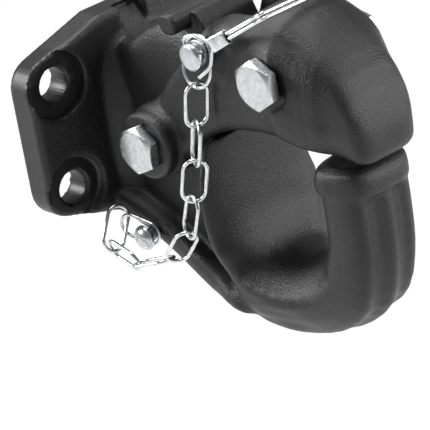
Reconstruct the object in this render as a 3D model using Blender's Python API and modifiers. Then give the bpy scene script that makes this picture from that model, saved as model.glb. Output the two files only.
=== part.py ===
# Pintle hook in metres: +X out of the mounting plate, +Z up, origin behind the plate's middle
import math

import bmesh
import bpy
import numpy as np
from mathutils import Matrix, Vector

# Running and seating clearances
GAP = 0.0003                     # between faces that touch
BORE_GAP = 0.0003                # around a bolt in its bore
SIDE_GAP = 0.0003                # each side of the lug, between the latch cheeks

# Mounting plate
PLATE_THICK = 0.0140
PLATE_EDGE_H = 0.0335            # half height at the ends
PLATE_MID_H = 0.0420             # half height at the middle
PLATE_MID_HALF_W = 0.0170
PLATE_CORNER = 0.0120
HOLE_SPAN_Y = 0.0857             # 3 3/8 inch
HOLE_SPAN_Z = 0.04445            # 1 3/4 inch
HOLE_TO_EDGE = 0.01415           # from a hole's centre to the plate's end
PLATE_HALF_W = HOLE_SPAN_Y / 2 + HOLE_TO_EDGE
HOLE_R = 0.0069                  # for a 1/2 inch bolt
SPOT_R = 0.0138
SPOT_FLOOR = 0.0113

# Neck and lug
LUG_HALF_W = 0.0152
FLARE = 0.0170                   # radius of the fillet between plate and neck
LUG_TOP_R = 0.0445               # crest of the lug, about the latch pivot
GROOVE_R = 0.0385                # floor of the groove that the lock foot rides in
GROOVE_HALF_W = 0.0064
FLANGE_HALF_W = 0.0225           # lower flange
FLANGE_THICK = 0.0120

# Horn: a band round the throat, with its inner and outer faces as arcs
THROAT_C = Vector((0.0992, 0, -0.0300))
THROAT_R = 0.0226
HORN_R = 0.0508                  # outer face at the bottom of the bowl
HORN_FRONT_X = 0.1458
HORN_TIP_Z = 0.0005
HORN_HALF_W = 0.0182
OUTER_SQUARE = 3.2               # squareness of the horn's section at its outer face
TIP_LIP = 0.0013
TIP_SQUARE = 2.8
CHANNEL_HALF_W = 0.0130
CHANNEL_DEPTH = 0.0013

# Latch
PIVOT = Vector((0.0467, 0, -0.0019))
LATCH_HALF_W = 0.0249
RIM_BEYOND = 0.0051              # the throat's rim, at its back and bottom, past the latch's cheeks
RIM_HALF_W = LATCH_HALF_W + RIM_BEYOND
BULGE_HALF_W = 0.0266
NOSE_HALF_W = 0.0155
NOSE_X = 0.1508
LATCH_TOP_Z = 0.0580
LATCH_TAIL_R = 0.0152
TAIL_ROOM = 0.0010               # between the latch's tail and the neck
BOSS_R = 0.0138
BOSS_FILLET = 0.0012             # at the boss's foot
BOSS_HEIGHT = 0.0070
CAVITY_FRONT_X = 0.1245
CAVITY_ROOF_Z = 0.0475           # under the hump
SLOT_FRONT_X = 0.1030            # front end of the slot that is open on top
SEAT_R = 0.0120                  # spot face under the lock bolt's head

# Lock lever
LOCK_PIVOT = Vector((0.1134, 0, 0.0346))
HUB_R = 0.0095
HUB_HALF_W = 0.0092
ARM_HALF_W = 0.0138
ARM_CLEAR = 0.0017               # between the lug's crest and the arm
ARM_BACK_R = LUG_TOP_R + ARM_CLEAR
# The arm's outline from hub to handle, and from its underside back to the hub: height over ARM_BACK_R and
# degrees about the latch pivot
ARM_TOP = ((0.0199, 37.7), (0.0102, 39.0), (0.0052, 41.8), (0.0025, 48.4), (0.0041, 56.4), (0.0089, 63.6),
           (0.0110, 68.1), (0.0090, 75.5), (0.0043, 75.3))
ARM_NECK = ((0.0040, 30.4), (0.0158, 26.9))
FOOT_HALF_W = 0.0060
HANDLE_HALF_LEN = 0.0240
HANDLE_C = Vector((0.0625, 0, 0.0485))
HANDLE_THICK = 0.0086

# Bolts
BOLT_R = 0.0055
HEX_AF = 0.0173
HEX_HEAD = 0.0051
NUT_HEIGHT = 0.0075
THIN_NUT_HEIGHT = 0.0045         # on the lock bolt
NUT_TURN = 0.3                   # radians from the head's flats
BOLT_STICK_OUT = 0.0015

# Spring
SPRING_WIRE_R = 0.0007
SPRING_TURNS = 2.5
SPRING_PITCH = 0.0017

# Lock pin and its wire
PIN_AT = Vector((0.0845, 0, 0.0425))
PIN_R = 0.0040
PIN_HEAD_R = 0.0055
PIN_HEAD_LEN = 0.0088
PIN_TAIL = 0.0050                # beyond the far cheek
WIRE_R = 0.0008
WIRE_HOLE_R = 0.0012
WIRE_SPREAD = 0.0013             # half the distance between the two strands
BAIL_BEND = Vector((0.1180, -0.0245, 0.0630))
BAIL_END_Y = 0.0290

# Chain
CHAIN_WIRE_R = 0.00080
LINK_LEN = 0.0202
LINK_WIDTH = 0.0108
RING_LEN = 0.0215
RING_WIDTH = 0.0162
# Each link's way along the chain and the side that its flat faces: from the ring down, and from link 8 on
RUN_STEPS = (
    ((-0.19, -0.03, -1), (1, -0.30, 0)),
    ((-0.22, -0.05, -1), (0.50, 1, 0)),
    ((-0.25, -0.05, -1), (1, -0.75, 0)),
    ((-0.34, -0.05, -1), (0.30, 1, 0)),
    ((-0.78, -0.06, -1), (1, -0.45, 0)),
)
TAIL_STEPS = (
    ((0.90, -0.04, -0.21), (0.23, 1, 0.29)),
    ((0.88, 0.23, 0.24), (-0.25, 0.11, 1)),
)
# Links 9 and 8, nearest the chain bolt: centre from the bolt, way along and side faced
HELD_LINKS = (
    ((-0.0049, -0.0034, 0.0015), (-0.936, -0.216, 0.280), (-0.237, 0.970, -0.046)),
    ((-0.0124, -0.0098, 0.0030), (0.108, -0.520, -0.847), (-0.947, 0.205, -0.246)),
)
CHAIN_STANDOFF = 0.0021          # from the flange to the middle of the last link's wire
CHAIN_HEAD_OFF = 0.0032          # from there to the head of the chain bolt
CHAIN_BOLT_AT = Vector((0.0320, 0, -0.0462))
CHAIN_BOLT_R = 0.0028
CHAIN_BORE_DEPTH = 0.0120
CHAIN_DOME = 0.0034
CHAIN_HEAD_R = 0.0053

STEEL_BLACK = ("satin_black_casting", (0.030, 0.030, 0.032), 0.55, 0.0)
ZINC = ("zinc_plate", (0.62, 0.63, 0.64), 0.28, 1.0)
BRIGHT_WIRE = ("bright_wire", (0.75, 0.76, 0.77), 0.20, 1.0)
SPRING_STEEL = ("spring_steel", (0.20, 0.20, 0.21), 0.35, 1.0)


def clear_scene():
    for item in list(bpy.data.objects):
        bpy.data.objects.remove(item, do_unlink=True)


clear_scene()
PARTS = bpy.data.collections.new("pintle_hook")
CUTTERS = bpy.data.collections.new("cutters")
bpy.context.scene.collection.children.link(PARTS)
bpy.context.scene.collection.children.link(CUTTERS)


def material(kind):
    name, colour, roughness, metallic = kind
    found = bpy.data.materials.get(name)
    if found:
        return found
    made = bpy.data.materials.new(name)
    made.use_nodes = True
    shader = made.node_tree.nodes["Principled BSDF"]
    shader.inputs["Base Color"].default_value = (*colour, 1.0)
    shader.inputs["Roughness"].default_value = roughness
    shader.inputs["Metallic"].default_value = metallic
    return made


def place(obj, kind=None):
    """Puts an object in the parts, or in the cutters when it has no material."""
    for home in list(obj.users_collection):
        home.objects.unlink(obj)
    obj.hide_render = kind is None
    obj.display_type = "WIRE" if kind is None else "TEXTURED"
    if kind is None:
        CUTTERS.objects.link(obj)
    else:
        PARTS.objects.link(obj)
        obj.data.materials.clear()
        obj.data.materials.append(material(kind))
    return obj


def from_bmesh(name, bm, kind=None, smooth=True):
    mesh = bpy.data.meshes.new(name)
    bmesh.ops.recalc_face_normals(bm, faces=bm.faces)
    bm.to_mesh(mesh)
    bm.free()
    if smooth:
        mesh.shade_smooth()
        mesh.set_sharp_from_angle(angle=math.radians(35))
    return place(bpy.data.objects.new(name, mesh), kind)


def curve_to_mesh(curve_obj, kind):
    """A curve's evaluated shape as a welded mesh object, in place of the curve."""
    name = curve_obj.name
    curve_obj.name = name + "_curve"
    bpy.context.scene.collection.objects.link(curve_obj)
    bpy.context.view_layer.update()
    evaluated = curve_obj.evaluated_get(bpy.context.evaluated_depsgraph_get())
    mesh = bpy.data.meshes.new_from_object(evaluated)
    mesh.transform(curve_obj.matrix_world)
    bpy.data.objects.remove(curve_obj, do_unlink=True)
    bm = bmesh.new()
    bm.from_mesh(mesh)
    bmesh.ops.remove_doubles(bm, verts=bm.verts, dist=0.00001)
    bpy.data.meshes.remove(mesh)
    return from_bmesh(name, bm, kind)


def outline_solid(name, points, half_thick, kind=None, facing="Y", middle=0.0):
    """A flat outline in the XZ plane (facing Y) or the YZ plane (facing X), with its thickness across it."""
    data = bpy.data.curves.new(name, "CURVE")
    data.dimensions = "2D"
    data.fill_mode = "BOTH"
    data.extrude = half_thick
    spline = data.splines.new("POLY")
    spline.points.add(len(points) - 1)
    for point, (across, up) in zip(spline.points, points):
        point.co = (across, up, 0, 1)
    spline.use_cyclic_u = True
    obj = bpy.data.objects.new(name, data)
    turn = Matrix.Rotation(math.radians(90), 4, "X")
    shift = Matrix.Translation((0, middle, 0))
    if facing == "X":
        turn = Matrix.Rotation(math.radians(90), 4, "Z") @ turn
        shift = Matrix.Translation((middle, 0, 0))
    obj.matrix_world = shift @ turn
    return curve_to_mesh(obj, kind)


def tube(name, points, radius, kind, closed=False):
    """A round wire along the points."""
    data = bpy.data.curves.new(name, "CURVE")
    data.dimensions = "3D"
    data.bevel_depth = radius
    data.bevel_resolution = 2
    data.use_fill_caps = not closed
    spline = data.splines.new("POLY")
    spline.points.add(len(points) - 1)
    for point, co in zip(spline.points, points):
        point.co = (*co, 1)
    spline.use_cyclic_u = closed
    return curve_to_mesh(bpy.data.objects.new(name, data), kind)


def cylinder(name, radius, y0, y1, at, kind=None, sides=32, radius_end=None, axis="Y"):
    """A round bar along Y (or X) from y0 to y1; at gives its axis."""
    bm = bmesh.new()
    end = radius if radius_end is None else radius_end
    bmesh.ops.create_cone(bm, cap_ends=True, segments=sides, radius1=radius, radius2=end, depth=abs(y1 - y0))
    middle = (y0 + y1) / 2
    if axis == "Y":
        turn = Matrix.Rotation(math.radians(-90), 4, "X")
        where = Vector((at.x, middle, at.z))
    else:
        turn = Matrix.Rotation(math.radians(90), 4, "Y")
        where = Vector((middle, at.y, at.z))
    bmesh.ops.transform(bm, matrix=Matrix.Translation(where) @ turn, verts=bm.verts)
    return from_bmesh(name, bm, kind)


def turned(name, profile, at, kind, steps=32):
    """A profile of (radius, y) pairs, from the near end to the far end, turned about the Y axis at a point."""
    bm = bmesh.new()
    verts = [bm.verts.new((radius, y, 0)) for radius, y in profile]
    for first, second in zip(verts, verts[1:]):
        bm.edges.new((first, second))
    mesh = bpy.data.meshes.new(name)
    bm.to_mesh(mesh)
    bm.free()
    obj = place(bpy.data.objects.new(name, mesh), kind)
    obj.location = at
    screw = obj.modifiers.new("turn", "SCREW")
    screw.axis = "Y"
    screw.steps = steps
    screw.render_steps = steps
    screw.use_merge_vertices = True
    screw.merge_threshold = 0.00001
    screw.use_normal_flip = True
    return obj


def loft(name, rings, kind=None):
    """Skins a list of rings, each with the same number of points, and caps both ends."""
    bm = bmesh.new()
    rows = [[bm.verts.new(point) for point in ring] for ring in rings]
    count = len(rings[0])
    for row, following in zip(rows, rows[1:]):
        for i in range(count):
            j = (i + 1) % count
            bm.faces.new((row[i], row[j], following[j], following[i]))
    bm.faces.new(rows[0])
    bm.faces.new(rows[-1])
    return from_bmesh(name, bm, kind)


def boolean(obj, other, operation="DIFFERENCE"):
    step = obj.modifiers.new(operation.lower() + "_" + other.name, "BOOLEAN")
    step.operation = operation
    step.solver = "EXACT"
    step.object = other
    return step


def bevel(obj, width, segments=2, angle=40):
    step = obj.modifiers.new("bevel", "BEVEL")
    step.width = width
    step.segments = segments
    step.limit_method = "ANGLE"
    step.angle_limit = math.radians(angle)
    return step


def arc(centre, radius, start, end, count):
    """Points on an arc in the XZ plane; angles in degrees from +X towards +Z."""
    angles = [math.radians(start + (end - start) * i / (count - 1)) for i in range(count)]
    return [(centre[0] + radius * math.cos(a), centre[1] + radius * math.sin(a)) for a in angles]


def smooth_table(keys, count):
    """Rows of numbers spaced evenly through the key rows on a smooth curve."""
    keys = np.array(keys, float)
    steps = np.linspace(0, len(keys) - 1, count)
    first = np.clip(np.floor(steps).astype(int), 0, len(keys) - 2)
    t = (steps - first)[:, None]
    before = keys[np.clip(first - 1, 0, len(keys) - 1)]
    here, there = keys[first], keys[first + 1]
    after = keys[np.clip(first + 2, 0, len(keys) - 1)]
    return 0.5 * (2 * here + (there - before) * t + (2 * before - 5 * here + 4 * there - after) * t ** 2
                  + (3 * here - before - 3 * there + after) * t ** 3)


def rounded_ring(count, power):
    """Unit points round a rounded square; a higher power is squarer."""
    angles = np.linspace(0, 2 * math.pi, count, endpoint=False) + math.pi / count
    c, s = np.cos(angles), np.sin(angles)
    return np.sign(c) * np.abs(c) ** (2 / power), np.sign(s) * np.abs(s) ** (2 / power)


def axis_point(at):
    return (at.x, at.z)


def plate_outline():
    """The plate seen from the front: ends with round corners, and a taller middle."""
    quarter = [(PLATE_HALF_W, 0)]
    corner = (PLATE_HALF_W - PLATE_CORNER, PLATE_EDGE_H - PLATE_CORNER)
    slope = math.degrees(math.atan2(PLATE_MID_H - PLATE_EDGE_H, corner[0] - PLATE_MID_HALF_W))
    quarter += arc(corner, PLATE_CORNER, 0, 90 - slope, 6)
    quarter.append((PLATE_MID_HALF_W, PLATE_MID_H))
    upper = quarter + [(-y, z) for y, z in reversed(quarter[1:])]
    return upper + [(-y, -z) for y, z in upper]


def make_plate():
    plate = outline_solid("plate_blank", plate_outline(), PLATE_THICK / 2, facing="X", middle=PLATE_THICK / 2)
    bevel(plate, 0.0018, segments=2, angle=50)
    return plate


def make_flare():
    """The big fillet where the neck leaves the plate."""
    across, up = rounded_ring(28, 3.2)
    rings = []
    for turn in np.linspace(0.10, 1.0, 8):
        reach = FLARE * (1 - math.sqrt(1 - (1 - turn) ** 2))
        x = PLATE_THICK + FLARE * turn - 0.0025
        top = 0.0277 + 0.60 * reach
        bottom = -0.0413 - 0.0035 * turn
        half = LUG_HALF_W - 0.0009 + reach
        middle, tall = (top + bottom) / 2, (top - bottom) / 2
        rings.append([(x, half * a, middle + tall * b) for a, b in zip(across, up)])
    return loft("neck_flare", rings)


def section_loft(name, stations, count=32):
    """Upright sections along X: each station is x, low z, high z, half width, and squareness below and above."""
    rings = []
    for x, low, high, half, power, top_power in stations:
        across, up = rounded_ring(count, power)
        across_top, up_top = rounded_ring(count, top_power)
        across, up = np.where(up > 0, (across_top, up_top), (across, up))
        middle, tall = (high + low) / 2, (high - low) / 2
        rings.append([(x, half * a, middle + tall * b) for a, b in zip(across, up)])
    return loft(name, rings)


def make_lug():
    """The web between plate and throat, with the lug's round crest over the latch pivot."""
    stations = [(0.0060, -0.0400, 0.0288), (0.0150, -0.0420, 0.0296), (0.0215, -0.0450, 0.0308)]
    for x in (0.0290, 0.0360, 0.0430, 0.0500, 0.0560, 0.0610, 0.0650):
        crest = math.sqrt(LUG_TOP_R ** 2 - (x - PIVOT.x) ** 2) + PIVOT.z
        slope = 0.0308 + (x - 0.0215) * 0.62
        stations.append((x, -0.0440 - (x - 0.0215) * 0.40, min(crest, slope)))
    stations.append((0.0668, -0.0520, 0.0340))
    stations.append((0.0674, -0.0430, 0.0280))
    rows = [(*row, LUG_HALF_W, 7.0, 7.0) for row in stations[:-2]]
    rows += [(*row, LUG_HALF_W - 0.0012 * (i + 1), 6.0, 6.0) for i, row in enumerate(stations[-2:])]
    return section_loft("lug_web", rows, 36)


def flange_ring(low, high, half, power=4.0, count=20):
    """A section across the flange: from a low point to a high point in the XZ plane, and half wide in Y."""
    across, along = rounded_ring(count, power)
    middle = ((low[0] + high[0]) / 2, (low[1] + high[1]) / 2)
    reach = ((high[0] - low[0]) / 2, (high[1] - low[1]) / 2)
    return [(middle[0] + reach[0] * b, half * a, middle[1] + reach[1] * b) for a, b in zip(across, along)]


def make_lower_flange():
    """The flange along the underside, from the plate to the bowl."""
    keys = [(0.0090, -0.0405), (0.0260, -0.0475), (0.0450, -0.0580), (0.0600, -0.0672), (0.0710, -0.0722),
            (0.0800, -0.0742)]
    widths = [0.0255, 0.0230, FLANGE_HALF_W, FLANGE_HALF_W, 0.0208, 0.0170]
    table = smooth_table([(*point, width) for point, width in zip(keys, widths)], 11)
    slopes = np.gradient(table[:, :2], axis=0)
    slopes /= np.linalg.norm(slopes, axis=1)[:, None]
    rings = []
    for (x, z, half), (run, rise) in zip(table, slopes):
        rings.append(flange_ring((x, z), (x - rise * FLANGE_THICK, z + run * FLANGE_THICK), half))
    return loft("lower_flange", rings)


def horn_stations():
    """Rows of inner x and z, outer x and z, half width and the throat side's squareness, from back wall to tip."""
    inner = lambda angle, crown: arc(axis_point(THROAT_C), THROAT_R - crown, angle, angle + 1, 2)[0]
    outer = lambda angle: arc(axis_point(THROAT_C), HORN_R, angle, angle + 1, 2)[0]
    wide, slim = RIM_HALF_W, HORN_HALF_W
    return [
        (0.0742, -0.0010, 0.0675, -0.0030, wide - 0.0060, 3.6),
        (0.0750, -0.0100, 0.0640, -0.0125, wide - 0.0014, 3.6),
        (0.0762, -0.0220, 0.0610, -0.0290, wide + 0.0004, 3.4),
        (0.0784, -0.0350, 0.0600, -0.0540, wide - 0.0006, 3.2),
        (*inner(-130, 0.0008), *outer(-121), wide - 0.0020, 2.8),
        (*inner(-106, 0.0020), *outer(-103), wide - 0.0034, 2.5),
        (*inner(-82, 0.0032), *outer(-82), wide - 0.0058, 2.2),
        (*inner(-58, 0.0040), *outer(-60), slim + 0.0026, 2.1),
        (*inner(-32, 0.0034), *outer(-38), slim + 0.0008, 2.1),
        (THROAT_C.x + THROAT_R - 0.0022, -0.0320, HORN_FRONT_X - 0.0008, -0.0420, slim, 2.1),
        (THROAT_C.x + THROAT_R - 0.0010, -0.0220, HORN_FRONT_X, -0.0240, slim, 2.2),
        (THROAT_C.x + THROAT_R - 0.0005, -0.0110, HORN_FRONT_X - 0.0005, -0.0120, slim, 2.4),
    ]


def horn_ring(row, count=26):
    """A section of the horn: round towards the throat, squarer and narrower at the outer face."""
    xi, zi, xo, zo, half, square = row
    across, along = rounded_ring(count, OUTER_SQUARE)
    across_in, along_in = rounded_ring(count, square)
    across, along = np.where(along < 0, (across_in, along_in), (across, along))
    flare = max(0.0, half - HORN_HALF_W) / half
    ring = []
    for a, b in zip(across, along):
        share = (b + 1) / 2                      # 0 at the throat, 1 at the outer face
        taper = 1 - (0.08 + flare) * min(1.0, max(0.0, share - 0.30) / 0.45)
        ring.append((xi + (xo - xi) * share, half * taper * a, zi + (zo - zi) * share))
    return ring


def make_horn():
    table = smooth_table(horn_stations(), 30)
    rings = [horn_ring(row) for row in table]
    back, front = THROAT_C.x + THROAT_R, HORN_FRONT_X
    tip = [(-0.0098, -TIP_LIP), (-0.0050, -TIP_LIP), (HORN_TIP_Z - 0.0022, 0.0), (HORN_TIP_Z, 0.0035)]
    for z, inset in tip:
        row = (back - 0.0005 + inset, z, front - 0.0002 - inset, z - 0.0006, HORN_HALF_W - inset, TIP_SQUARE)
        rings.append(horn_ring(row))
    return loft("horn_band", rings)


def make_channel():
    """The shallow channel down the outer face of the horn."""
    table = smooth_table(horn_stations(), 30)[13:]
    rings = []
    for xi, zi, xo, zo, *_ in table:
        out = Vector((xo - xi, 0, zo - zi)).normalized()
        low = Vector((xo, 0, zo)) - out * CHANNEL_DEPTH
        high = Vector((xo, 0, zo)) + out * 0.0060
        rings.append(flange_ring((low.x, low.z), (high.x, high.z), CHANNEL_HALF_W, 3.2, 20))
    return loft("channel_cut", rings)


def groove_cutter():
    """The room over the lug in which the lock foot swings with the latch."""
    at = axis_point(PIVOT)
    outline = arc(at, GROOVE_R, 40, 134, 14) + arc(at, GROOVE_R + 0.02, 134, 40, 14)
    return outline_solid("groove_cut", outline, GROOVE_HALF_W)


def hole_cutters():
    cuts = []
    for side in (-1, 1):
        for level in (-1, 1):
            at = Vector((0, side * HOLE_SPAN_Y / 2, level * HOLE_SPAN_Z / 2))
            tag = ("near" if side < 0 else "far") + ("_low" if level < 0 else "_high")
            cuts.append(cylinder("hole_" + tag, HOLE_R, -0.005, 0.030, at, sides=32, axis="X"))
            cuts.append(cylinder("spot_" + tag, SPOT_R, SPOT_FLOOR, 0.050, at, sides=40, axis="X"))
    return cuts


def make_hook_body():
    body = make_plate()
    body.name = "hook_body"
    place(body, STEEL_BLACK)
    for piece in (make_flare(), make_lug(), make_lower_flange(), make_horn()):
        boolean(body, piece, "UNION")
    for cut in hole_cutters():
        boolean(body, cut)
    boolean(body, make_channel())
    boolean(body, groove_cutter())
    reach = LUG_HALF_W + 0.02
    boolean(body, cylinder("pivot_bore", BOLT_R + BORE_GAP, -reach, reach, PIVOT))
    for side, tag in ((-1, "near"), (1, "far")):
        outer = side * (FLANGE_HALF_W + 0.01)
        room = cylinder("tail_room_" + tag, LATCH_TAIL_R + TAIL_ROOM, side * LUG_HALF_W, outer, PIVOT)
        boolean(body, room)
    deep = -FLANGE_HALF_W + CHAIN_BORE_DEPTH
    boolean(body, cylinder("chain_bolt_bore", CHAIN_BOLT_R + BORE_GAP, -0.04, deep, CHAIN_BOLT_AT))
    return body


def latch_stations():
    """Rows of x, underside z, top z, half width and squareness below and above, from tail to nose."""
    rows = []
    for x in (0.0318, 0.0335, 0.0365, 0.0410, 0.0460, 0.0510):
        tall = math.sqrt(max(LATCH_TAIL_R ** 2 - (x - PIVOT.x) ** 2, 1e-6))
        rise = max(0.0, x - 0.0410) * 0.62
        rows.append((x, PIVOT.z - tall, PIVOT.z + tall + rise, LATCH_HALF_W, 5.0, 5.0))
    rows += [
        (0.0560, -0.0148, 0.0265, LATCH_HALF_W, 5.5, 5.5),
        (0.0600, -0.0112, 0.0303, LATCH_HALF_W, 6.0, 6.0),
        (0.0640, -0.0050, 0.0341, LATCH_HALF_W, 6.0, 6.0),
        (0.0690, 0.0000, 0.0388, LATCH_HALF_W, 6.0, 6.0),
        (0.0750, 0.0032, 0.0444, LATCH_HALF_W, 5.5, 5.5),
        (0.0830, 0.0060, 0.0495, LATCH_HALF_W, 5.0, 5.0),
        (0.0920, 0.0078, 0.0537, LATCH_HALF_W, 5.0, 5.0),
        (0.1020, 0.0084, 0.0568, LATCH_HALF_W, 4.6, 4.6),
        (0.1110, 0.0080, LATCH_TOP_Z, LATCH_HALF_W, 4.4, 3.0),
        (0.1165, 0.0074, LATCH_TOP_Z - 0.0006, BULGE_HALF_W - 0.0006, 4.4, 2.5),
        (0.1215, 0.0066, 0.0556, BULGE_HALF_W, 4.4, 2.3),
        (0.1260, 0.0056, 0.0528, BULGE_HALF_W - 0.0016, 4.4, 2.3),
        (0.1300, 0.0044, 0.0496, 0.0216, 4.4, 2.5),
        (0.1340, 0.0033, 0.0458, 0.0176, 4.4, 2.8),
        (0.1380, 0.0024, 0.0414, NOSE_HALF_W + 0.0002, 4.6, 3.2),
        (0.1422, 0.0018, 0.0358, NOSE_HALF_W, 4.6, 3.6),
        (0.1460, 0.0018, 0.0290, NOSE_HALF_W, 4.6, 4.0),
        (0.1488, 0.0028, 0.0220, NOSE_HALF_W - 0.0012, 4.2, 4.2),
        (NOSE_X - 0.0006, 0.0048, 0.0170, NOSE_HALF_W - 0.0040, 3.6, 3.6),
        (NOSE_X, 0.0068, 0.0136, NOSE_HALF_W - 0.0075, 3.0, 3.0),
    ]
    return rows


def make_boss(name, side, start, face):
    """The raised boss round the pivot bolt: a drum with a fillet at its foot and a rounded rim."""
    foot, rim = LATCH_HALF_W, 0.0012
    profile = [(0, start), (LATCH_TAIL_R - 0.0002, start), (LATCH_TAIL_R - 0.0002, foot + 0.0002)]
    for turn in (20, 45, 70, 90):
        a = math.radians(turn)
        profile.append((BOSS_R + BOSS_FILLET * (1 - math.sin(a)), foot + BOSS_FILLET * (1.1 - math.cos(a))))
    profile += [(BOSS_R, face - rim), (BOSS_R - rim * 0.4, face - rim * 0.4), (BOSS_R - rim, face), (0, face)]
    if side < 0:
        profile = [(radius, -y) for radius, y in reversed(profile)]
    return turned(name, profile, PIVOT, None, steps=40)


def make_latch():
    latch = section_loft("latch_blank", latch_stations())
    latch.name = "latch"
    place(latch, STEEL_BLACK)
    inner = LUG_HALF_W + SIDE_GAP
    back, low, high = 0.0200, -0.0300, 0.0800
    cavity = [(back, low), (CAVITY_FRONT_X, low), (CAVITY_FRONT_X, CAVITY_ROOF_Z - 0.0040),
              (CAVITY_FRONT_X - 0.0040, CAVITY_ROOF_Z), (SLOT_FRONT_X, CAVITY_ROOF_Z), (SLOT_FRONT_X, high),
              (back, high)]
    boolean(latch, outline_solid("cheek_gap", cavity, inner))
    face = LATCH_HALF_W + BOSS_HEIGHT
    reach = face + 0.01
    for side, tag in ((-1, "near"), (1, "far")):
        seat = cylinder("lock_seat_" + tag, SEAT_R, side * LATCH_HALF_W, side * reach, LOCK_PIVOT, sides=40)
        boolean(latch, seat)
        boolean(latch, make_boss("pivot_boss_" + tag, side, inner + 0.001, face), "UNION")
    boolean(latch, cylinder("latch_pivot_bore", BOLT_R + BORE_GAP, -reach, reach, PIVOT))
    boolean(latch, cylinder("lock_pivot_bore", BOLT_R + BORE_GAP, -reach, reach, LOCK_PIVOT))
    boolean(latch, cylinder("pin_bore", PIN_R + BORE_GAP, -reach, reach, PIN_AT))
    return latch


def hex_solid(name, at, y0, y1, turn, kind=None):
    """A hexagon nut or head along Y, with its corners chamfered on the outer end y0."""
    outer = HEX_AF / math.sqrt(3)
    bm = bmesh.new()
    bmesh.ops.create_cone(bm, cap_ends=True, segments=6, radius1=outer, radius2=outer, depth=abs(y1 - y0))
    matrix = (Matrix.Translation((at.x, (y0 + y1) / 2, at.z)) @ Matrix.Rotation(turn, 4, "Y")
              @ Matrix.Rotation(math.radians(-90), 4, "X"))
    bmesh.ops.transform(bm, matrix=matrix, verts=bm.verts)
    solid = from_bmesh(name, bm, kind, smooth=False)
    away = 1 if y0 > y1 else -1
    cone_h = 0.030
    cone = cylinder(name + "_chamfer", HEX_AF / 2 * 0.98 if away < 0 else HEX_AF / 2 * 0.98 + cone_h * 1.9,
                    min(y0, y0 - away * cone_h), max(y0, y0 - away * cone_h), at, sides=36,
                    radius_end=HEX_AF / 2 * 0.98 + cone_h * 1.9 if away < 0 else HEX_AF / 2 * 0.98)
    boolean(solid, cone, "INTERSECT")
    return solid


def make_bolt(name, at, seat, turn, nut_height):
    """A hexagon bolt through both sides; seat is the half width that its head and nut clamp."""
    under = -(seat + GAP)
    end = seat + GAP + nut_height + BOLT_STICK_OUT
    bolt = hex_solid(name + "_bolt", at, under - HEX_HEAD, under, turn, ZINC)
    boolean(bolt, cylinder(name + "_shank", BOLT_R, under - 0.001, end, at, sides=28), "UNION")
    nut = hex_solid(name + "_nut", at, seat + GAP + nut_height, seat + GAP, turn + NUT_TURN, ZINC)
    boolean(nut, cylinder(name + "_nut_bore", BOLT_R + BORE_GAP, seat - 0.01, end + 0.01, at, sides=28))
    return bolt, nut


def lever_outline():
    """The lock lever's arm from the hub, under the lock pin, up to the handle."""
    hub = axis_point(LOCK_PIVOT)
    under = arc(axis_point(PIVOT), ARM_BACK_R, 38, 73, 9)
    above = lambda rows: [arc(axis_point(PIVOT), ARM_BACK_R + rise, turn, turn, 2)[0] for rise, turn in rows]
    return [*arc(hub, HUB_R, -110, 120, 14), *above(ARM_TOP), *reversed(under), *above(ARM_NECK)]


def make_lever():
    lever = outline_solid("lock_lever", lever_outline(), ARM_HALF_W, STEEL_BLACK)
    bevel(lever, 0.0010, segments=1, angle=60)
    for side, tag in ((-1, "near"), (1, "far")):
        y0, y1 = side * HUB_HALF_W, side * (ARM_HALF_W + 0.01)
        relief = [(0.0985, 0.010), (0.130, 0.010), (0.130, 0.060), (0.0985, 0.060)]
        half = abs(y1 - y0) / 2
        boolean(lever, outline_solid("hub_relief_" + tag, relief, half, middle=(y0 + y1) / 2))
    half = HANDLE_THICK / 2
    across, up = rounded_ring(16, 3.0)
    rings = []
    for y, size in ((-1, 0.80), (-0.965, 1.0), (-0.6, 1.0), (0.6, 1.0), (0.965, 1.0), (1, 0.80)):
        rings.append([(HANDLE_C.x + half * size * a, HANDLE_HALF_LEN * y, HANDLE_C.z + half * size * b)
                      for a, b in zip(across, up)])
    boolean(lever, loft("handle_bar", rings), "UNION")
    at = axis_point(PIVOT)
    foot = arc(at, GROOVE_R + 0.0005, 60, 72, 5) + arc(at, ARM_BACK_R + 0.002, 72, 60, 5)
    boolean(lever, outline_solid("lock_foot", foot, FOOT_HALF_W), "UNION")
    boolean(lever, cylinder("hub_bore", BOLT_R + BORE_GAP, -0.03, 0.03, LOCK_PIVOT))
    return lever


def make_spring():
    """A torsion spring on the lock bolt, beside the hub, with one leg on the arm and one forward."""
    radius = BOLT_R + BORE_GAP + SPRING_WIRE_R
    start = -(LUG_HALF_W + SIDE_GAP) + GAP + SPRING_WIRE_R
    leg = 0.0130
    points = []
    turns = int(SPRING_TURNS * 16)
    for i in range(turns + 1):
        angle = math.radians(90) + 2 * math.pi * SPRING_TURNS * i / turns
        points.append((LOCK_PIVOT.x + radius * math.cos(angle), start + SPRING_PITCH * SPRING_TURNS * i / turns,
                       LOCK_PIVOT.z + radius * math.sin(angle)))
    first, last = points[0], points[-1]
    points.insert(0, (first[0] + HUB_R * 0.9, first[1], first[2]))
    points.append((last[0] - leg, last[1], last[2] + 0.0010))
    return tube("lock_spring", points, SPRING_WIRE_R, SPRING_STEEL)


BAIL_UP = (BAIL_BEND - Vector((PIN_AT.x, BAIL_BEND.y, PIN_AT.z))).normalized()
BAIL_SIDE = Vector((0, 1, 0)).cross(BAIL_UP)


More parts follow.
